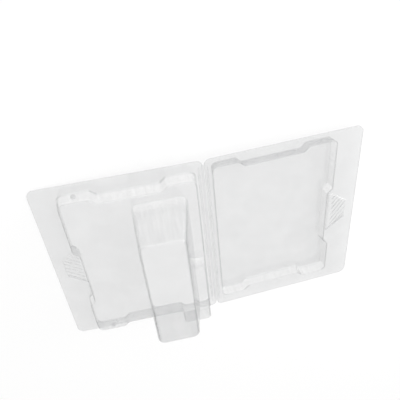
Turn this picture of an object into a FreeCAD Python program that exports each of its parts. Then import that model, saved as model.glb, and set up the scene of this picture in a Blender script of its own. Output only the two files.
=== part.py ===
import FreeCAD, Part
import os
import Sketcher
from FreeCAD import Placement, Rotation, Vector

# A clear clamshell pack, thermoformed from one sheet and lying open, in millimetres.
# The blister half carries a shallow block with a tall tower. The lid half carries a plug
# that goes up into the block when the pack is folded shut under itself.
# +Z is up and +Y runs along the fold. The origin is the middle of the plug's flat underside,
# which the open pack lies on. The blister half slopes down from the fold until its outer
# edge touches the same surface.

os.makedirs("parts", exist_ok=True)
doc = FreeCAD.newDocument("clamshell_pack")

# Driving sizes
sizes = doc.addObject("Spreadsheet::Sheet", "sizes")
SIZES = [
    ("film", 0.6, "thickness of the formed sheet"),
    ("flange_width", 116, "fold line to outer edge of a half"),
    ("flange_length", 150, "length of both halves along the fold"),
    ("outer_round", 5.5, "flange corners away from the fold"),
    ("fold_round", 4.5, "flange corners beside the fold"),
    ("mating_gap", 0.3, "air between the two flanges when shut"),
    ("bead_radius", 0.75, "bead that runs along the fold"),
    ("bead_gap", 0.3, "air between the bead and the lid flange"),
    ("fold_margin", 5, "fold line to the block"),
    ("far_margin", 17, "far wall of the block to the outer edge of the flange"),
    ("end_margin", 7, "flange end to the block"),
    ("block_rise", 10, "block above the flange"),
    ("block_draft", 6, "slope of the block walls in degrees"),
    ("block_round", 5, "upright corners of the block"),
    ("block_rim", 1.3, "edge round the front of the block"),
    ("waist_step", 4, "inset of the block's middle zone at both ends"),
    ("waist_start", 26, "fold line to the first step"),
    ("waist_end", 72, "fold line to the second step"),
    ("notch_depth", 4, "inset of the far wall behind the finger grip"),
    ("notch_low", -34, "lower start of the inset"),
    ("notch_high", 22, "upper end of the inset"),
    ("step_round", 2.2, "soft corners of the steps"),
    ("grip_margin", 7, "finger grip to the outer edge of the flange"),
    ("grip_low", -18, "lower end of the grip at the block"),
    ("grip_high", 21, "upper end of the grip at the block"),
    ("grip_taper", 11, "how far the grip's sloping ends run in"),
    ("grip_rise", 1.4, "grip above the flange"),
    ("grip_draft", 25, "slope of the grip's sides in degrees"),
    ("ledge_setback", 0.6, "top edge of the block to the ledge, by the fold and at its lower end"),
    ("ledge_outer", 30, "fold line to the end of the ledge under the tower"),
    ("ledge_length", 62, "length of the ledge, with the part that the tower covers"),
    ("ledge_rise", 10, "ledge above the block"),
    ("ledge_round", 3.5, "upright corners of the ledge"),
    ("ledge_rim", 1.2, "edge round the ledge"),
    ("tower_inner", 13.5, "fold line to the tower"),
    ("tower_outer", 52, "fold line to the tower's far wall"),
    ("ledge_show", 14.8, "length of the ledge that shows below the tower"),
    ("tower_end_gap", 11.5, "upper end of the tower to the end of the block"),
    ("tower_rise", 36, "tower above the block"),
    ("tower_fold_draft", 11, "slope of the tower wall by the fold in degrees"),
    ("tower_far_draft", 1.5, "slope of the tower wall away from the fold in degrees"),
    ("tower_low_draft", 2.5, "slope of the tower's lower end wall in degrees"),
    ("tower_high_draft", 7.5, "slope of the tower's upper end wall in degrees"),
    ("tower_round", 5.5, "upright corners of the tower"),
    ("tower_rim", 2.2, "edge round the face of the tower"),
    ("lug_setback", 12.5, "stacking lugs to the far wall of the block"),
    ("lug_height", 5, "stacking lugs above the flange"),
    ("lug_radius", 1.8, "radius of the stacking lugs"),
    ("plug_gap", 0.5, "air between the plug and the block's inside"),
    ("plug_depth", 8, "plug below the lid flange"),
    ("plug_draft", 8, "slope of the plug walls in degrees"),
    ("plug_rim", 1.3, "edge round the plug's floor"),
]
for row, (alias, number, note) in enumerate(SIZES, start=1):
    sizes.set("A%d" % row, note)
    sizes.set("B%d" % row, str(number))
    sizes.setAlias("B%d" % row, alias)
doc.recompute()

# Levels above the fold axis, which lies half the mating gap under both flanges
UNDERSIDE = "sizes.mating_gap / 2"
FLANGE_TOP = "(sizes.mating_gap / 2 + sizes.film)"
BLOCK_TOP = "(sizes.mating_gap / 2 + sizes.film + sizes.block_rise)"
FOLD_HEIGHT = "(sizes.plug_depth - sizes.mating_gap / 2)"

# Distances across from the fold line, and places along it from the middle of the pack
BLOCK_REACH = "(sizes.flange_width - sizes.far_margin)"
NOTCH_WALL = "(%s - sizes.notch_depth)" % BLOCK_REACH
GRIP_REACH = "(sizes.flange_width - sizes.grip_margin)"
BLOCK_END = "(sizes.flange_length / 2 - sizes.end_margin)"
LEDGE_LOW = "(sizes.block_rise * tan(sizes.block_draft) + sizes.ledge_setback - %s)" % BLOCK_END
LEDGE_HIGH = "(%s + sizes.ledge_length)" % LEDGE_LOW
LEDGE_INNER = "(sizes.fold_margin + sizes.block_rise * tan(sizes.block_draft) + sizes.ledge_setback)"
TOWER_LOW = "(%s + sizes.ledge_show)" % LEDGE_LOW
TOWER_HIGH = "(%s - sizes.tower_end_gap)" % BLOCK_END

# How far a corner between a straight wall and a wall at 45 degrees moves along the straight
# one for each millimetre that both walls move inward
BEVEL = "tan(22.5)"


def number(text):
    """The present value of an expression in the sheet's names."""
    return float(sizes.evalExpression(text))


def origin_plane(body, role):
    for feature in body.Origin.OriginFeatures:
        if feature.Role == role:
            return feature
    raise RuntimeError("no plane " + role)


def outline(body, name, corners, level):
    """A closed polygon sketch at a level above the fold axis, each corner bound to the sheet."""
    sketch = body.newObject("Sketcher::SketchObject", name)
    sketch.AttachmentSupport = [(origin_plane(body, "XY_Plane"), "")]
    sketch.MapMode = "FlatFace"
    sketch.setExpression("AttachmentOffset.Base.z", level)
    places = [Vector(number(across), number(along), 0) for across, along in corners]
    count = len(corners)
    for first in range(count):
        sketch.addGeometry(Part.LineSegment(places[first], places[(first + 1) % count]), False)
    for first in range(count):
        sketch.addConstraint(Sketcher.Constraint("Coincident", first, 2, (first + 1) % count, 1))
    for corner, (across, along) in enumerate(corners):
        for kind, text in (("DistanceX", across), ("DistanceY", along)):
            place = sketch.addConstraint(
                Sketcher.Constraint(kind, -1, 1, corner, 1, number(text)))
            sketch.setExpression("Constraints[%d]" % place, text)
    return sketch


def rectangle(near, far, low, high):
    return [(near, low), (far, low), (far, high), (near, high)]


def formed_outline(side, inset):
    """The waisted outline shared by the block and the plug, moved inward by an inset.

    side is 1 for the lid's +X half and -1 for the blister's half."""
    near = "(sizes.fold_margin + %s)" % inset
    far = "(%s - (%s))" % (BLOCK_REACH, inset)
    notched = "(%s - sizes.notch_depth)" % far
    end = "(%s - (%s))" % (BLOCK_END, inset)
    waist = "(%s - sizes.waist_step)" % end
    slide = "%s * (%s)" % (BEVEL, inset)
    start = "(sizes.waist_start - %s)" % slide
    stop = "(sizes.waist_end + %s)" % slide
    lower = "(sizes.notch_low - %s)" % slide
    upper = "(sizes.notch_high + %s)" % slide
    lower_half = [
        (near, "-" + end),
        (start, "-" + end),
        (start + " + sizes.waist_step", "-" + waist),
        (stop, "-" + waist),
        (stop + " + sizes.waist_step", "-" + end),
        (far, "-" + end),
        (far, lower),
        (notched, lower + " + sizes.notch_depth"),
    ]
    upper_half = [
        (notched, upper + " - sizes.notch_depth"),
        (far, upper),
        (far, end),
        (stop + " + sizes.waist_step", end),
        (stop, waist),
        (start + " + sizes.waist_step", waist),
        (start, end),
        (near, end),
    ]
    return [("%d * (%s)" % (side, across), along) for across, along in lower_half + upper_half]


def grip_outline(side, inset, inside):
    """The half hexagon of the finger grip, with its long side at the wall that it joins."""
    reach = "(%s - (%s))" % (GRIP_REACH, inset)
    low = "(sizes.grip_low + %s)" % inset
    high = "(sizes.grip_high - (%s))" % inset
    corners = [
        (inside, low),
        (NOTCH_WALL, low),
        (reach, low + " + sizes.grip_taper"),
        (reach, high + " - sizes.grip_taper"),
        (NOTCH_WALL, high),
        (inside, high),
    ]
    return [("%d * (%s)" % (side, across), along) for across, along in corners]


def pad(body, sketch, length, draft, downward=False):
    """A pad whose walls lean inward by the draft."""
    feature = body.newObject("PartDesign::Pad", sketch.Name + "_pad")
    feature.Profile = sketch
    feature.setExpression("Length", length)
    feature.setExpression("TaperAngle", "-(%s)" % draft)
    feature.Reversed = downward
    sketch.Visibility = False
    doc.recompute()
    return feature


def soften(body, name, radius, chosen):
    """Rounds every edge of the body so far that the test picks."""
    base = body.Tip
    edges = [
        "Edge%d" % place for place, edge in enumerate(base.Shape.Edges, start=1)
        if len(edge.Vertexes) == 2 and chosen(edge)
    ]
    feature = body.newObject("PartDesign::Fillet", name)
    feature.Base = (base, edges)
    feature.setExpression("Radius", radius)
    doc.recompute()
    return feature


def upright(edge):
    first, last = [vertex.Point for vertex in edge.Vertexes]
    return abs(first.z - last.z) > 0.5 * edge.Length


def level_with(level):
    height = number(level)
    return lambda edge: all(abs(vertex.Z - height) < 0.01 for vertex in edge.Vertexes)


def formed_block(body, side, name, inset, level, length, draft, rim, downward):
    """The waisted block or plug with its corners, steps and rim rounded."""
    sketch = outline(body, name + "_outline", formed_outline(side, inset), level)
    pad(body, sketch, length, draft, downward)
    end = number(BLOCK_END + " - sizes.waist_step")
    middle = number("(sizes.waist_start + sizes.waist_end) / 2")
    start = number("sizes.waist_start - 2 * sizes.film")
    stop = number("sizes.waist_end + sizes.waist_step + 2 * sizes.film")

    def corner(edge):
        place = edge.CenterOfMass
        beyond = abs(place.x) < start if abs(place.x) < middle else abs(place.x) > stop
        return upright(edge) and abs(place.y) > end - 2 and beyond

    def step(edge):
        return upright(edge) and not corner(edge)

    soften(body, name + "_corners", "sizes.block_round - (%s)" % inset, corner)
    soften(body, name + "_steps", "sizes.step_round", step)
    sign = "-" if downward else "+"
    soften(body, name + "_rim", rim, level_with("%s %s (%s)" % (level, sign, length)))


def leaning_walls(body, name, foot, sides, drafts, upper_level, length):
    """Flat walls from the foot up to a smaller rectangle, each with its own slope."""
    upper_sides = [
        "%s %s %s * tan(%s)" % (side, sign, length, draft)
        for side, sign, draft in zip(sides, "+-+-", drafts)
    ]
    head = outline(body, name + "_head", rectangle(*upper_sides), upper_level)
    rise = body.newObject("PartDesign::AdditiveLoft", name + "_rise")
    rise.Profile = foot
    rise.Sections = [head]
    rise.Ruled = True
    foot.Visibility = head.Visibility = False
    doc.recompute()


def raised(body, name, sides, drafts, level, length, round_size, rim):
    """A rise on the body so far, with its upright corners and its top edge rounded.

    sides are the places of its four walls at the foot, in the order of a rectangle's. drafts
    is one slope in degrees for all of them, or a list with a slope for each."""
    upper_level = "%s + %s" % (level, length)
    foot = outline(body, name + "_foot", rectangle(*sides), level)
    if isinstance(drafts, str):
        pad(body, foot, length, drafts)
    else:
        leaning_walls(body, name, foot, sides, drafts, upper_level, length)
    base, top = number(level), number(upper_level)
    xs = [number(side) for side in sides[:2]]
    ys = [number(side) for side in sides[2:]]

    def inside(edge):
        place = edge.CenterOfMass
        across = min(xs) - 0.01 < place.x < max(xs) + 0.01
        along = min(ys) - 0.01 < place.y < max(ys) + 0.01
        return across and along and base < place.z < top

    soften(body, name + "_corners", round_size, lambda edge: upright(edge) and inside(edge))
    soften(body, name + "_rim", rim, level_with(upper_level))


def blister_form(name, inset):
    """The block, ledge and tower as one solid, from the flange's underside up."""
    body = doc.addObject("PartDesign::Body", name)
    rise = "(sizes.film + sizes.block_rise - (%s))" % inset
    formed_block(body, -1, name + "_block", inset, UNDERSIDE, rise, "sizes.block_draft",
                 "sizes.block_rim - (%s)" % inset, False)
    block_top = "(%s - (%s))" % (BLOCK_TOP, inset)
    walls = [
        "-(sizes.tower_outer - (%s))" % inset, "-(sizes.tower_inner + (%s))" % inset,
        "%s + (%s)" % (TOWER_LOW, inset), "%s - (%s)" % (TOWER_HIGH, inset)]
    drafts = ["sizes.tower_far_draft", "sizes.tower_fold_draft",
              "sizes.tower_low_draft", "sizes.tower_high_draft"]
    raised(body, name + "_tower", walls, drafts, block_top, "sizes.tower_rise",
           "sizes.tower_round - (%s)" % inset, "sizes.tower_rim - (%s)" % inset)
    return body


def ledge_form(name, inset):
    """The ledge between the tower and the fold, from the block's underside up."""
    body = doc.addObject("PartDesign::Body", name)
    walls = [
        "-(sizes.ledge_outer - (%s))" % inset, "-(%s + (%s))" % (LEDGE_INNER, inset),
        "%s + (%s)" % (LEDGE_LOW, inset), "%s - (%s)" % (LEDGE_HIGH, inset)]
    level = "(%s - sizes.film - (%s))" % (BLOCK_TOP, inset)
    raised(body, name + "_ledge", walls, "sizes.block_draft", level,
           "(sizes.ledge_rise + sizes.film)", "sizes.ledge_round - (%s)" % inset,
           "sizes.ledge_rim - (%s)" % inset)
    return body


def grip_form(name, side, inset, inside):
    """The finger grip beside the block, from the flange's underside up."""
    body = doc.addObject("PartDesign::Body", name)
    sketch = outline(body, name + "_outline", grip_outline(side, inset, inside), UNDERSIDE)
    pad(body, sketch, "sizes.film + sizes.grip_rise - (%s)" % inset, "sizes.grip_draft")
    return body


def flange(name, side, near):
    """The flat flange of one half, with round corners beside the fold and larger outer ones."""
    body = doc.addObject("PartDesign::Body", name)
    half = "sizes.flange_length / 2"
    corners = [
        (near, "-" + half), ("sizes.flange_width", "-" + half),
        ("sizes.flange_width", half), (near, half),
    ]
    corners = [("%d * (%s)" % (side, across), along) for across, along in corners]
    pad(body, outline(body, name + "_outline", corners, UNDERSIDE), "sizes.film", "0")
    middle = number("sizes.flange_width / 2")
    soften(body, name + "_outer_corners", "sizes.outer_round",
           lambda edge: upright(edge) and abs(edge.CenterOfMass.x) > middle)
    soften(body, name + "_fold_corners", "sizes.fold_round",
           lambda edge: upright(edge) and abs(edge.CenterOfMass.x) < middle)
    return body


def joined(name, pieces):
    group = doc.addObject("Part::MultiFuse", name)
    group.Shapes = pieces
    group.Refine = False
    return group


def hollowed(name, solid, hollow):
    cut = doc.addObject("Part::Cut", name)
    cut.Base = solid
    cut.Tool = hollow
    cut.Refine = False
    return cut


def lugs(name, side, radius):
    """A small dome in each end wall near the far corners, which keeps stacked packs apart."""
    domes = []
    for end, sign in (("low", "-"), ("high", "")):
        dome = doc.addObject("Part::Sphere", "%s_%s" % (name, end))
        dome.setExpression("Radius", radius)
        dome.setExpression(
            "Placement.Base.x", "%d * (%s - sizes.lug_setback)" % (side, BLOCK_REACH))
        dome.setExpression("Placement.Base.y", sign + BLOCK_END)
        height = "(%s + sizes.film / 2 + %d * sizes.lug_height)" % (UNDERSIDE, -side)
        dome.setExpression("Placement.Base.z", height)
        domes.append(dome)
    return domes


# Blister half: flange, block, ledge, tower and finger grip, with the bead along the fold
bead = doc.addObject("Part::Cylinder", "fold_bead")
bead.setExpression("Radius", "sizes.bead_radius")
bead.setExpression("Height", "sizes.flange_length - 2 * sizes.fold_round")
bead.Placement = Placement(Vector(0, 0, 0), Rotation(Vector(1, 0, 0), -90))
bead.setExpression("Placement.Base.y", "-(sizes.flange_length / 2 - sizes.fold_round)")
blister_outer = joined("blister_outer", [
    flange("blister_flange", -1, "0"), bead,
    blister_form("outside", "0"), ledge_form("outside_step", "0"),
    grip_form("outside_grip", -1, "0", NOTCH_WALL + " - 3 * sizes.film")]
    + lugs("outside_lug", -1, "sizes.lug_radius"))
blister_inner = joined("blister_inner", [
    blister_form("inside", "sizes.film"), ledge_form("inside_step", "sizes.film"),
    grip_form("inside_grip", -1, "sizes.film", NOTCH_WALL + " - 3 * sizes.film")]
    + lugs("inside_lug", -1, "(sizes.lug_radius - sizes.film)"))
blister = hollowed("blister_half", blister_outer, blister_inner)


# Lid half: flange, plug and finger grip. The plug clears the block's inside by the plug gap.
PLUG_INSET = "(sizes.film + sizes.plug_gap)"


def plug_form(name, inset, length, rim):
    """The plug from the lid flange's top down to its own floor."""
    body = doc.addObject("PartDesign::Body", name)
    formed_block(body, 1, name + "_plug", inset, FLANGE_TOP, length, "sizes.plug_draft",
                 rim, True)
    return body


lid_outer = joined("lid_outer", [
    flange("lid_flange", 1, "sizes.bead_radius + sizes.bead_gap"),
    plug_form("under", PLUG_INSET, "(sizes.film + sizes.plug_depth)", "sizes.plug_rim"),
    grip_form("over_grip", 1, "0", "%s - %s - sizes.film" % (NOTCH_WALL, PLUG_INSET))])
lid_inner = joined("lid_inner", [
    plug_form("hollow", "(%s + sizes.film)" % PLUG_INSET, "sizes.plug_depth",
              "sizes.plug_rim - sizes.film"),
    grip_form("under_grip", 1, "sizes.film", "%s - %s" % (NOTCH_WALL, PLUG_INSET))])
lid = hollowed("lid_half", lid_outer, lid_inner)

# The lid lies flat on its plug. The blister half turns down about the fold until its outer
# edge is as low as the plug's floor.
MIDDLE = "-((sizes.fold_margin + %s) / 2)" % BLOCK_REACH
SLOPE = (
    "(asin(%s / sqrt(sizes.flange_width ^ 2 + (sizes.mating_gap / 2) ^ 2))"
    " + atan(sizes.mating_gap / 2 / sizes.flange_width))" % FOLD_HEIGHT)
lid.setExpression("Placement.Base.x", MIDDLE)
lid.setExpression("Placement.Base.z", FOLD_HEIGHT)
blister.Placement = Placement(Vector(0, 0, 0), Rotation(Vector(0, -1, 0), 1))
blister.setExpression("Placement.Base.x", MIDDLE)
blister.setExpression("Placement.Base.z", FOLD_HEIGHT)
blister.setExpression("Placement.Rotation.Angle", SLOPE)
doc.recompute()

# Nothing is written unless every object came out right
for item in doc.Objects:
    if "Invalid" in item.State or "Error" in item.State:
        raise RuntimeError("%s failed" % item.Label)
for label, piece in (("blister_half", blister), ("lid_half", lid)):
    piece.Label = label
    solid = piece.Shape
    if solid.isNull() or not solid.isValid() or len(solid.Solids) != 1:
        raise RuntimeError("%s is not one sound solid" % label)
    solid.exportStep("parts/%s.step" % label)
    low = solid.optimalBoundingBox()
    print(label, round(solid.Volume), "mm3, lowest", round(low.ZMin, 4), "highest", round(low.ZMax, 3))
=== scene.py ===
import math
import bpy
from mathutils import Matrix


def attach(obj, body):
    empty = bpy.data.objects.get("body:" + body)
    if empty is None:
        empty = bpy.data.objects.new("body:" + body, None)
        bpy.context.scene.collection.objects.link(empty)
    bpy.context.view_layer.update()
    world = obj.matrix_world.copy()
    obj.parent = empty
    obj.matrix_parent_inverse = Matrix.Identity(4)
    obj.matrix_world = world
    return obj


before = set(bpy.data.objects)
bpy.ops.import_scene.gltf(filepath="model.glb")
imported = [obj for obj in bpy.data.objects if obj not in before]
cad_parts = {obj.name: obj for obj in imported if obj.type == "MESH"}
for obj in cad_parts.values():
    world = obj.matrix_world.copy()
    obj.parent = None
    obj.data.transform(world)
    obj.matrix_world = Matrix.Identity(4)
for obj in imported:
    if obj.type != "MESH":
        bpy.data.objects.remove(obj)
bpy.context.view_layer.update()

# %% [markdown]
# # A clear clamshell pack, open
# The pack is one thin sheet of clear plastic, warmed and drawn over a mould. Its left half is
# a shallow block with a tall tower, and its right half is a plug that goes up into the block
# when the pack is folded shut. Both shells come from the CAD model, because a mould is cut from
# just such exact shapes. What CAD leaves out is added here: the ribs that give the fingers a
# hold, the scored lines beside the fold, and above all the film itself, which is nearly
# nothing to look at except where it turns away from the eye.

# %% Tools
from types import SimpleNamespace

import bpy
import numpy as np
from mathutils import Matrix, Vector

MM = 0.001

# %% [markdown]
# ## The two halves' own coordinates
# Each half is easiest to describe from the fold: `reach` is the distance from the fold line,
# `along` runs along the fold, and `height` is the height above the fold line. The blister half
# slopes a little, because the open pack rests on its plug and on its outer edge, so its frame
# is turned about the fold. Every added piece is worked out in these coordinates and then placed.

# %% Frames of the two halves
FOLD_X, FOLD_Z = -52.0, 7.85
SLOPE = math.radians(3.954)
FLANGE_TOP = 0.75
FLANGE_REACH, HALF_LENGTH = 116.0, 75.0


def blister_place(reach, along, height):
    """World x = fold x - reach cos(slope) - height sin(slope); z = fold z - reach sin(slope)
    + height cos(slope); y = along. All in millimetres, as arrays."""
    x = FOLD_X - reach * math.cos(SLOPE) - height * math.sin(SLOPE)
    z = FOLD_Z - reach * math.sin(SLOPE) + height * math.cos(SLOPE)
    return np.stack([x, along + 0 * x, z], axis=-1)


def lid_place(reach, along, height):
    """World x = fold x + reach, y = along, z = fold z + height, in millimetres."""
    x = FOLD_X + reach + 0 * along
    return np.stack([x, along + 0 * x, FOLD_Z + height + 0 * x], axis=-1)


outer_edge = blister_place(np.array(FLANGE_REACH), np.array(0.0), np.array(0.15))
print("outer edge of the blister half in mm:", outer_edge.round(2))

# %% [markdown]
# ## From a grid to a mesh
# The small pieces are thin bars. Such a bar could be a curve with a bevel, but a grid of points
# worked out by a formula keeps every size in sight. The grid, `rows` along the bar by `columns`
# round it, becomes a closed skin of four-sided faces, and each end gets one cap.

# %% Grid skin
ROUND_POINTS = 12
LEAST_FADE = 0.02


def skin(name, grids):
    """One mesh from several grids of points, each shaped (rows, columns, 3) in millimetres.
    Face (i, j) joins points (i, j), (i, j+1), (i+1, j+1) and (i+1, j). The last column joins
    the first, and each end ring is filled by one face."""
    points, faces, start = [], [], 0
    for grid in grids:
        rows, columns = grid.shape[:2]
        index = start + np.arange(rows * columns).reshape(rows, columns)
        index = np.concatenate([index, index[:, :1]], axis=1)
        quads = np.stack(
            [index[:-1, :-1], index[:-1, 1:], index[1:, 1:], index[1:, :-1]], axis=-1)
        faces += quads.reshape(-1, 4).tolist()
        faces += [index[0, :-1][::-1].tolist(), index[-1, :-1].tolist()]
        points.append(grid.reshape(-1, 3))
        start += rows * columns
    mesh = bpy.data.meshes.new(name)
    mesh.from_pydata((np.concatenate(points) * MM).tolist(), [], faces)
    mesh.validate()
    mesh.update()
    mesh.shade_smooth()
    piece = bpy.data.objects.new(name, mesh)
    bpy.context.scene.collection.objects.link(piece)
    print(name, len(mesh.vertices), "points,", len(mesh.polygons), "faces")
    return piece


def half_round(width, height, sink, fade):
    """The cross-section of every bar. The angle a goes round, with offset = width/2 cos a, and
    rise = height sin a above the sheet and sink sin a below it, all times the fade."""
    angle = np.linspace(0, 2 * np.pi, ROUND_POINTS, endpoint=False)[None, :]
    offset = width / 2 * np.cos(angle) * fade
    rise = np.where(np.sin(angle) < 0, sink, height) * np.sin(angle) * fade
    return offset, rise


# %% [markdown]
# ## Ribs of the finger grips
# Beside the block, each half has a low pad for the fingers. Its flat top is pressed with fine
# slanting ribs. They could be bump alone, but then they would vanish from the side and from
# the exported mesh, so each one is a real half-round bar. It sinks a little into the pad, and
# its two ends fade out to nothing. The ribs are cut off where the pad's outline leaves them.

# %% Rib surface
GRIP_LOW, GRIP_HIGH, GRIP_TAPER = -18.0, 21.0, 11.0
GRIP_WALL, GRIP_REACH = 95.0, 109.0
GRIP_TOP = FLANGE_TOP + 1.4
RIB_PITCH, RIB_WIDTH, RIB_HEIGHT, RIB_SINK = 3.0, 1.1, 0.35, 0.12
RIB_MARGIN = 1.5
RIB_ROWS, RIB_SAMPLES, SHORTEST_RIB = 25, 400, 60
SKIN_GAP = 0.02
BLISTER_LEAN, LID_LEAN = 0.8, 1.4


def grip_span(reach):
    """The pad's lower and upper edge at a reach: both run in by the taper between the wall and
    the outer end."""
    share = (reach - GRIP_WALL) / (GRIP_REACH - GRIP_WALL)
    return GRIP_LOW + GRIP_TAPER * share, GRIP_HIGH - GRIP_TAPER * share


def rib_grids(place, lean):
    """Half-round bars that lean across the pad. lean is how far a bar runs along the fold for
    each millimetre of reach, and the pitch is measured square to the bars. Along a bar the
    position is start + t (stop - start), and the fade sqrt(1 - (2t-1)^8) closes its ends."""
    grids = []
    inner, outer = GRIP_WALL + RIB_MARGIN, GRIP_REACH - RIB_MARGIN
    sample = np.linspace(inner, outer, RIB_SAMPLES)
    low, high = grip_span(sample)
    turn = math.hypot(1, lean)
    lowest = GRIP_LOW - (GRIP_REACH - GRIP_WALL) * lean
    for first in np.arange(lowest, GRIP_HIGH, RIB_PITCH * turn):
        along = first + lean * (sample - inner)
        held = (along > low + RIB_MARGIN) & (along < high - RIB_MARGIN)
        if held.sum() < SHORTEST_RIB:
            continue
        t = np.linspace(0, 1, RIB_ROWS)[:, None]
        start, stop = sample[held][0], sample[held][-1]
        centre = start + t * (stop - start)
        fade = np.sqrt(np.clip(1 - (2 * t - 1) ** 8, LEAST_FADE, 1))
        side, rise = half_round(RIB_WIDTH, RIB_HEIGHT, RIB_SINK, fade)
        reach = centre - side * lean / turn
        across = first + lean * (centre - inner) + side / turn
        grids.append(place(reach, across, GRIP_TOP - SKIN_GAP + rise))
    return grids


# %% Make the ribs
blister_ribs = skin("grip_ribs_blister", rib_grids(blister_place, BLISTER_LEAN))
lid_ribs = skin("grip_ribs_lid", rib_grids(lid_place, LID_LEAN))

# %% [markdown]
# ## Scored lines beside the fold
# The tool that creases the sheet leaves a fine raised line on each side of the fold. They are
# what makes the pack bend in a straight line. Carving them into the CAD would cost many faces
# for less than a tenth of a millimetre, so each one is a very flat half-round bar again.

# %% Scored lines
SCORE_REACH, SCORE_WIDTH, SCORE_HEIGHT, SCORE_SINK = 2.9, 1.5, 0.09, 0.1
SCORE_HALF_LENGTH, SCORE_ROWS = 69.5, 121


def score_grids(place):
    """A straight flat bar, its ends drawn in by the fade sqrt(1 - s^16), with s running from -1
    to 1 along the fold."""
    s = np.linspace(-1, 1, SCORE_ROWS)[:, None]
    fade = np.sqrt(np.clip(1 - s ** 16, LEAST_FADE, 1))
    side, rise = half_round(SCORE_WIDTH, SCORE_HEIGHT, SCORE_SINK, fade)
    along = SCORE_HALF_LENGTH * s + 0 * side
    return [place(SCORE_REACH + side, along, FLANGE_TOP - SKIN_GAP + rise)]


blister_score = skin("fold_line_blister", score_grids(blister_place))
lid_score = skin("fold_line_lid", score_grids(lid_place))

# %% [markdown]
# ## Writing shader sums as sums
# The film's look is arithmetic: how thick it is here, how far it is drawn, how much it scatters.
# `Sum` wraps one socket, so that such arithmetic can be written as it would be on paper, and
# each operator adds its Math node.

# %% Shader arithmetic


class Finish:
    """A material's or the room's node tree, emptied, with a single method that adds any node."""

    def __init__(self, owner):
        owner.use_nodes = True
        self.owner = owner
        self.tree = owner.node_tree
        self.tree.nodes.clear()

    def node(self, kind, settings=None, **values):
        """Adds a node, sets its settings first, then gives its sockets numbers or links. A
        socket is named by its label with _ for a space, or by _ and its number."""
        made = self.tree.nodes.new(kind)
        for key, setting in (settings or {}).items():
            setattr(made, key, setting)
        for key, value in values.items():
            socket = made.inputs[int(key[1:]) if key[0] == "_" else key.replace("_", " ")]
            if isinstance(value, Sum):
                value = value.socket
            if isinstance(value, bpy.types.NodeSocket):
                self.tree.links.new(value, socket)
            else:
                socket.default_value = value
        return made

    def sum(self, socket):
        """A socket as a number to reckon with."""
        return Sum(self, socket)


class Sum:
    """A number that changes over the surface."""

    def __init__(self, finish, socket):
        self.finish, self.socket = finish, socket

    def math(self, operation, first, second=0.0, clamp=False):
        """One Math node on two numbers or sockets."""
        made = self.finish.node(
            "ShaderNodeMath", {"operation": operation, "use_clamp": clamp}, _0=first, _1=second)
        return Sum(self.finish, made.outputs[0])

    def __add__(self, other):
        return self.math("ADD", self, other)

    def __sub__(self, other):
        return self.math("SUBTRACT", self, other)

    def __rsub__(self, other):
        return self.math("SUBTRACT", other, self)

    def __mul__(self, other):
        return self.math("MULTIPLY", self, other)

    def __truediv__(self, other):
        return self.math("DIVIDE", self, other)

    def __pow__(self, other):
        return self.math("POWER", self, other)

    def __abs__(self):
        return self.math("ABSOLUTE", self)

    __radd__, __rmul__ = __add__, __mul__

    def held(self):
        """The number kept between 0 and 1."""
        return self.math("ADD", self, 0.0, clamp=True)

    def most(self, other):
        """The larger of two numbers."""
        return self.math("MAXIMUM", self, other)

    def step(self, low, high):
        """0 below low, 1 above high, and a smooth rise between."""
        made = self.finish.node(
            "ShaderNodeMapRange", {"interpolation_type": "SMOOTHSTEP"},
            Value=self, From_Min=low, From_Max=high, To_Min=0.0, To_Max=1.0)
        return Sum(self.finish, made.outputs[0])


# %% [markdown]
# ## The film
# Glass with Transmission is the usual answer for clear plastic. On a sheet this thin it bends
# light that should go straight and turns the floor below dark, so the film is made by hand.
# Clear sheet shows itself in four ways. It mirrors a little, more and more as it turns away
# from the eye. It is faintly grey, because light crosses its thickness, and the path is longer
# at a slant, so walls seen at a slant are greyer. It carries a thin haze where it
# was stretched over the mould's edges and where it is creased. And it is never quite flat, so
# its reflections wobble. The first two follow the angle of view through Layer Weight. The last
# two follow the place on the pack. The dark outlines of bends and walls are painted shade on
# top of this. The grey turns darker at a graze and on sideways bends, and two lines of painted
# shade are added by hand, because a real bend gathers more light than a thin shell in a render
# does and throws it aside. One follows the rounded edges, where the normal points partly up
# and partly sideways. The other follows the foot of each wall.
# The renderer lets a ray pass eight clear surfaces and then returns black, and a look through
# the tower and the block crosses more. So past the eighth surface the film shows table white.

# %% Places on the film
BEND = (0.45, 0.95)
CREASE = (0.9, 3.2)
CALM_FROM = (3.6, 4.6)
NEAR_FOLD = (9.0, 12.0)
FAR_SIDE = (60.0, 80.0)
RIM_REACH = (FLANGE_REACH - 0.8, FLANGE_REACH - 0.1)
RIM_ALONG = (HALF_LENGTH - 0.8, HALF_LENGTH - 0.1)
PAD_REACH, PAD_BOTTOM, PAD_TOP = (93.0, 94.0), (0.8, 1.0), (2.3, 2.5)
FOOT_HEIGHT = (0.3, 1.2)
TOWER_HEIGHT, TOWER_END = (12.0, 20.0), (-62.0, -45.0)


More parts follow.
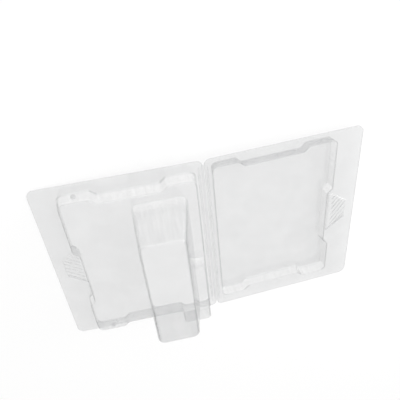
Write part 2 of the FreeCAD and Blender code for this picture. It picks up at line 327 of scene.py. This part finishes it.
def film_places(finish, turn, seam, far_calm):
    """Numbers from 0 to 1 that say where on the film a point is. turn is the slope of the half,
    seam the height at which walls leave the flange, and far_calm how much fainter the bends
    are far from the fold. The point and its normal are turned into the half's own frame. An
    edge's bend is 2 |sideways| |upwards| of the normal, which is 1 where it points half up."""
    coords = finish.node("ShaderNodeTexCoord")
    own_frame = {"vector_type": "TEXTURE"}
    point = finish.node(
        "ShaderNodeMapping", own_frame, Vector=coords.outputs["Object"],
        Location=(FOLD_X * MM, 0, FOLD_Z * MM), Rotation=(0, turn, 0)).outputs[0]
    normal = finish.node(
        "ShaderNodeMapping", own_frame, Vector=coords.outputs["Normal"],
        Rotation=(0, turn, 0)).outputs[0]
    split = finish.node("ShaderNodeSeparateXYZ", Vector=point)
    facing = finish.node("ShaderNodeSeparateXYZ", Vector=normal)
    reach = abs(finish.sum(split.outputs[0])) / MM
    lengthwise = finish.sum(split.outputs[1]) / MM
    height = finish.sum(split.outputs[2]) / MM
    to_side, to_end, upright = (abs(finish.sum(facing.outputs[axis])) for axis in range(3))
    wall = 1 - upright
    pad = reach.step(*PAD_REACH) * height.step(*PAD_BOTTOM) * (1 - height.step(*PAD_TOP))
    return SimpleNamespace(
        point=point, to_side=to_side, to_end=to_end, wall=wall,
        side_bend=(to_side * upright * 2).step(*BEND),
        end_bend=(to_end * upright * 2).step(*BEND),
        crease=1 - reach.step(*CREASE),
        by_fold=1 - reach.step(*NEAR_FOLD),
        rim=reach.step(*RIM_REACH).most(abs(lengthwise).step(*RIM_ALONG)),
        calm=(reach.step(*CALM_FROM) * (1 - pad * 0.7)
              * (1 - reach.step(*FAR_SIDE) * far_calm)),
        foot=(1 - abs(height - seam).step(*FOOT_HEIGHT)) * wall.step(0.5, 0.8),
        tower=wall.step(0.6, 0.8) * height.step(*TOWER_HEIGHT) * lengthwise.step(*TOWER_END))


# %% [markdown]
# ## How uneven the sheet is
# Three noises make the sheet uneven. Broad waves come from the cooling, a fine grain from the
# rollers, and streaks run down the walls, because there the sheet was drawn out.

# %% Noise on the film


def film_noise(finish, where):
    """Waves and grain run from 0 to 1 about 0.5. Streaks run about 0, and fade out where the
    sheet lies flat: they are a noise stretched along the height, less 0.5, times the wall."""
    def noise(place, scale, detail, roughness):
        return finish.sum(finish.node(
            "ShaderNodeTexNoise", Vector=place, Scale=scale, Detail=detail,
            Roughness=roughness).outputs[0])

    drawn = finish.node(
        "ShaderNodeMapping", Vector=where.point, Scale=(1.0, 1.0, 0.06)).outputs[0]
    waves = noise(where.point, 55.0, 2.0, 0.45)
    grain = noise(where.point, 900.0, 2.0, 0.6)
    streaks = (noise(drawn, 420.0, 3.0, 0.6) - 0.5) * where.wall
    return waves, grain, streaks


# %% [markdown]
# ## The film's shader
# The sheet is a mix of three shaders. A clear one lets light straight through, a grey body
# takes its share, and a mirror lies over both. How much each gets is reckoned here.

# %% Film material
FILM_TINT = (0.42, 0.43, 0.44)
# The darker of the two greys is painted edge shade, used at a graze and on sideways bends.
EDGE_SHADE_TINT = (0.12, 0.13, 0.14)
MIRROR_SQUARE_ON, MIRROR_LOST_IN_CREASE = 0.05, 0.7
# Shares of painted shade: dark lines along bends and at the feet of walls, in place of the light
# a real bend throws aside.
SHADE_LINE_FAR, SHADE_LINE_BY_FOLD, SHADE_LINE_END = 0.08, 0.12, 0.05
FOOT_SHADE_SIDE, FOOT_SHADE_END = 0.22, 0.05
THIN_WALL, TOWER_MORE, RIM_MORE = 0.65, 0.09, 0.08
HAZE_CREASE, HAZE_STREAKS, HAZE_WAVES, HAZE_GRAIN = 0.03, 0.12, 0.06, 0.012
RIPPLE_WAVES, RIPPLE_STREAKS, RIPPLE_GRAIN = 0.7, 0.6, 0.004
SURFACES_PASSED = 7.5


def film(name, turn, seam, base, slant, far_calm=0.0, rib_flank_shade_share=0.0):
    """The clear sheet. taken, the share of light that its grey body stops, is base square on,
    less on the thinned walls, and slant more at a graze, by graze^4. Haze and the cut rim add to
    it, and so does painted shade: dark lines on bends and at the feet of walls, and on the flanks
    of small ribs by the rib share. The body's grey turns to a darker painted edge shade at a
    graze and on sideways bends. The mirror's share is 5% square on and rises to all of it by
    graze^5."""
    finish = Finish(bpy.data.materials.new(name))
    where = film_places(finish, turn, seam, far_calm)
    waves, grain, streaks = film_noise(finish, where)
    graze = finish.sum(finish.node("ShaderNodeLayerWeight", Blend=0.5).outputs["Facing"])
    mirror = ((MIRROR_SQUARE_ON + graze ** 5 * (1 - MIRROR_SQUARE_ON))
              * (1 - where.crease * MIRROR_LOST_IN_CREASE)).held()

    # Painted shade: dark lines along the rounded edges and at the feet of the walls.
    side_shade_line = where.side_bend * (SHADE_LINE_FAR + where.by_fold * SHADE_LINE_BY_FOLD)
    bend = (side_shade_line + where.end_bend * SHADE_LINE_END) * where.calm
    foot = where.foot * (where.to_side * FOOT_SHADE_SIDE + where.to_end * FOOT_SHADE_END)
    # Painted shade on the flanks of small ribs.
    rib_flank_shade = where.wall.step(0.02, 0.5) * rib_flank_shade_share
    haze = (where.crease * HAZE_CREASE + streaks * HAZE_STREAKS
            + (waves - 0.5) * HAZE_WAVES + (grain - 0.5) * HAZE_GRAIN)
    taken = (base * (1 - where.wall * THIN_WALL) + where.tower * TOWER_MORE
             + graze ** 4 * slant + haze + bend + foot + rib_flank_shade
             + where.rim * where.wall * RIM_MORE).held()
    # Painted edge shade: the body's grey darkens at a graze and on sideways bends.
    painted_edge_shade = (graze.step(0.3, 0.95) * 0.9).most(where.side_bend * 0.8)
    colour = finish.node(
        "ShaderNodeMix", {"data_type": "RGBA"}, _0=painted_edge_shade, _6=(*FILM_TINT, 1), _7=(*EDGE_SHADE_TINT, 1))

    ripple = waves * RIPPLE_WAVES + streaks * RIPPLE_STREAKS + grain * RIPPLE_GRAIN
    bump = finish.node(
        "ShaderNodeBump", Strength=0.15, Distance=0.0006, Height=ripple).outputs[0]
    body = finish.node(
        "ShaderNodeBsdfPrincipled", Base_Color=colour.outputs[2], Roughness=0.4, Normal=bump,
        Specular_IOR_Level=0.2)
    gloss = finish.node(
        "ShaderNodeBsdfPrincipled", Base_Color=(1, 1, 1, 1), Metallic=1.0,
        Roughness=(0.06 + where.crease * 0.1 + (grain - 0.5) * 0.03).held(), Normal=bump)
    clear = finish.node("ShaderNodeBsdfTransparent", Color=(1, 1, 1, 1))
    sheet = finish.node("ShaderNodeMixShader", _0=taken, _1=clear.outputs[0], _2=body.outputs[0])
    surface = finish.node(
        "ShaderNodeMixShader", _0=mirror, _1=sheet.outputs[0], _2=gloss.outputs[0])

    crossed = finish.sum(finish.node("ShaderNodeLightPath").outputs["Transparent Depth"])
    table_white = finish.node("ShaderNodeEmission", Color=(0.95, 0.95, 0.95, 1), Strength=1.0)
    seen = finish.node(
        "ShaderNodeMixShader", _0=crossed.math("GREATER_THAN", crossed, SURFACES_PASSED),
        _1=surface.outputs[0], _2=table_white.outputs[0])
    finish.owner.cycles.emission_sampling = "NONE"
    finish.node("ShaderNodeOutputMaterial", Surface=seen.outputs[0])
    print("finish", name, len(finish.tree.nodes), "nodes")
    return finish.owner


# %% The four finishes
SHELL_BLISTER = {"base": 0.14, "slant": 0.42}
SHELL_LID = {"base": 0.155, "slant": 0.6, "far_calm": 0.7}
# The rib share of the detail film puts painted shade on the flanks of the ribs.
DETAIL = {"base": 0.06, "slant": 0.3, "rib_flank_shade_share": 0.15}
blister_film = film("clear_film_blister", -SLOPE, FLANGE_TOP + 0.5, **SHELL_BLISTER)
lid_film = film("clear_film_lid", 0.0, FLANGE_TOP - 0.5, **SHELL_LID)
blister_detail = film("clear_film_blister_detail", -SLOPE, FLANGE_TOP, **DETAIL)
lid_detail = film("clear_film_lid_detail", 0.0, FLANGE_TOP, **DETAIL)

# %% Dress the two shells and the small pieces
for node, finish in (("blister_half", blister_film), ("lid_half", lid_film)):
    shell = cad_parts[node]
    shell.data.materials.clear()
    shell.data.materials.append(finish)
for piece, finish, body in (
        (blister_ribs, blister_detail, "blister"), (blister_score, blister_detail, "blister"),
        (lid_ribs, lid_detail, "lid"), (lid_score, lid_detail, "lid")):
    piece.data.materials.append(finish)
    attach(piece, body)
    print(piece.name, "rides", body, "in", finish.name)

# %% [markdown]
# ## Floor and light
# The pack lies on a plain white table. Seen directly, the table is mostly its own white, with
# a share of honest diffuse white left in, so that the pack's faint shadow stays on it. The
# light is that of a small studio: one broad soft box over the pack, one low at the side for the
# bright streaks, and an even grey room that gives the film something to mirror. One hard lamp
# would be simpler, but a hard lamp is a glaring dot in every bend of a glossy sheet.

# %% Floor
FLOOR_REACH, FLOOR_LEVEL = 4.0, -0.0004
OWN_WHITE = 0.72
floor_mesh = bpy.data.meshes.new("floor")
floor_mesh.from_pydata(
    [(x * FLOOR_REACH, y * FLOOR_REACH, FLOOR_LEVEL)
     for x, y in ((-1, -1), (1, -1), (1, 1), (-1, 1))],
    [], [(0, 1, 2, 3)])
floor = bpy.data.objects.new("floor", floor_mesh)
bpy.context.scene.collection.objects.link(floor)
table = Finish(bpy.data.materials.new("white_table"))
path = table.node("ShaderNodeLightPath")
seen = table.sum(path.outputs["Is Camera Ray"]).most(
    table.sum(path.outputs["Is Glossy Ray"])).most(table.sum(path.outputs["Is Transmission Ray"]))
matte = table.node("ShaderNodeBsdfDiffuse", Color=(0.9, 0.9, 0.9, 1))
white = table.node("ShaderNodeEmission", Color=(1, 1, 1, 1), Strength=1.0)
mixed = table.node(
    "ShaderNodeMixShader", _0=seen * OWN_WHITE, _1=matte.outputs[0], _2=white.outputs[0])
table.node("ShaderNodeOutputMaterial", Surface=mixed.outputs[0])
floor_mesh.materials.append(table.owner)
print("floor", 2 * FLOOR_REACH, "m wide, its own white by", OWN_WHITE)

# %% Room and lamps
BRIGHT_SIDE = (0.1, -0.62, 0.78)
DIM_ROOM, BRIGHT_MORE = 0.6, 0.4
world = bpy.data.worlds.new("room")
bpy.context.scene.world = world
room = Finish(world)
ray = room.node("ShaderNodeTexCoord").outputs["Generated"]
towards = room.node(
    "ShaderNodeVectorMath", {"operation": "DOT_PRODUCT"}, _0=ray, _1=BRIGHT_SIDE)
glow = room.sum(towards.outputs["Value"]).step(0.55, 1.0) * BRIGHT_MORE + DIM_ROOM
even = room.node("ShaderNodeBackground", Color=(1, 0.995, 0.99, 1), Strength=glow)
plain = room.node("ShaderNodeBackground", Color=(1, 1, 1, 1))
both = room.node(
    "ShaderNodeMixShader", _0=room.node("ShaderNodeLightPath").outputs["Is Camera Ray"],
    _1=even.outputs[0], _2=plain.outputs[0])
room.node("ShaderNodeOutputWorld", Surface=both.outputs[0])


def soft_box(name, place, target, size, power):
    """A square area lamp at a place, facing a target, both in metres."""
    light = bpy.data.lights.new(name, "AREA")
    light.size, light.energy = size, power
    lamp = bpy.data.objects.new(name, light)
    lamp.location = place
    lamp.rotation_euler = (Vector(target) - Vector(place)).to_track_quat("-Z", "Y").to_euler()
    bpy.context.scene.collection.objects.link(lamp)
    print("lamp", name, size, "m wide,", power, "W")


PACK_CENTRE = (-0.053, 0.0, 0.01)
soft_box("over_box", (0.15, 0.45, 0.9), PACK_CENTRE, 1.3, 6.4)
soft_box("side_box", (0.75, 0.15, 0.35), PACK_CENTRE, 0.35, 2.2)

# %% [markdown]
# ## The camera
# The photograph looks down on the open pack from its upper end, with the picture turned right
# round: what is far from the eye is low in the picture. The place and the lens come from
# fitting the CAD model's corners to those in the photograph.

# %% Camera
RIGHT = Vector((0.96438, -0.08448, 0.25068))
DOWN = Vector((-0.22502, -0.76022, 0.60946))
FORWARD = Vector((0.13909, -0.64415, -0.75215))
EYE_PLACE = (-0.10629, 0.27358, 0.27889)
FOCAL_PIXELS, FRAME_PIXELS, SENSOR = 515.1, 400.0, 36.0
eye = bpy.data.cameras.new("eye")
eye.sensor_width = SENSOR
eye.lens = SENSOR * FOCAL_PIXELS / FRAME_PIXELS
eye.clip_start, eye.clip_end = 0.01, 20.0
camera = bpy.data.objects.new("camera", eye)
turned = Matrix((RIGHT, -DOWN, -FORWARD)).transposed().to_4x4()
camera.matrix_world = Matrix.Translation(EYE_PLACE) @ turned
bpy.context.scene.collection.objects.link(camera)
bpy.context.scene.camera = camera
bpy.context.scene.view_settings.view_transform = "Standard"
print("lens", round(eye.lens, 2), "mm")
